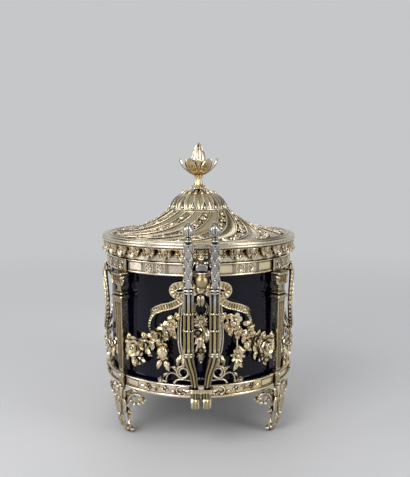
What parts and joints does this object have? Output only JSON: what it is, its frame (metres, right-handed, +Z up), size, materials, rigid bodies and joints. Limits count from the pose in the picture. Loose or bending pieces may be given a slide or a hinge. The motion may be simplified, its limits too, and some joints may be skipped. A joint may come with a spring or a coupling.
{
  "type": "lidded bonbonniere",
  "caption": "Round openwork sweet box: silver-gilt garland mount on four feet with two upright handles, cobalt glass liner and lift-off fluted lid with bud finial.",
  "frame": {"origin": "on the ground under the middle of the box, halfway between the two handles", "axes": "+Z up along the axis of the box, -Y towards the front handle, +X to the right as seen from the front handle"},
  "size_m": [0.1206, 0.1562, 0.1702],
  "materials": {
    "gilt": "polished silver-gilt",
    "darkened_silver": "polished, colder and a little darkened silver",
    "cobalt_glass": "deep blue glass, nearly black, polished"
  },
  "bodies": {
    "frame": {"bow_back": "gilt", "bow_front": "gilt", "foot_back_left": "gilt", "foot_back_right": "gilt", "foot_front_left": "gilt", "foot_front_right": "gilt", "garland_back_left": "gilt", "garland_back_right": "gilt", "garland_front_left": "gilt", "garland_front_right": "gilt", "handle_back_ball": "gilt", "handle_back_bridge": "darkened_silver", "handle_back_bud_left": "darkened_silver", "handle_back_bud_right": "darkened_silver", "handle_back_rod_left": "darkened_silver", "handle_back_rod_right": "darkened_silver", "handle_back_strap": "gilt", "handle_front_ball": "gilt", "handle_front_bridge": "darkened_silver", "handle_front_bud_left": "darkened_silver", "handle_front_bud_right": "darkened_silver", "handle_front_rod_left": "darkened_silver", "handle_front_rod_right": "darkened_silver", "handle_front_strap": "gilt", "leaf_border": "gilt", "liner_seat": "gilt", "lower_band": "gilt", "pendant_back": "gilt", "pendant_front": "gilt", "pilaster_back_left": "gilt", "pilaster_back_right": "gilt", "pilaster_front_left": "gilt", "pilaster_front_right": "gilt", "scrolls_back_left": "gilt", "scrolls_back_right": "gilt", "scrolls_front_left": "gilt", "scrolls_front_right": "gilt", "side_garland_left_back": "gilt", "side_garland_left_front": "gilt", "side_garland_right_back": "gilt", "side_garland_right_front": "gilt", "side_scrolls_left_back": "gilt", "side_scrolls_left_front": "gilt", "side_scrolls_right_back": "gilt", "side_scrolls_right_front": "gilt", "upper_band": "gilt", "wreath_left": "gilt", "wreath_right": "gilt"},
    "liner": {"liner": "cobalt_glass"},
    "lid": {"lid_rim": "gilt", "lid_bezel": "gilt", "lid_shell": "gilt", "lid_cap": "gilt", "finial_stem": "gilt", "finial_calyx": "gilt", "finial_bud": "gilt", "finial_nut": "gilt"}
  },
  "joints": [
    {"name": "liner_lift", "type": "slide", "parent": "frame", "child": "liner", "axis": [0, 0, 1], "range_m": [0, 0.09]},
    {"name": "lid_lift", "type": "slide", "parent": "liner", "child": "lid", "axis": [0, 0, 1], "range_m": [0, 0.06]}
  ]
}
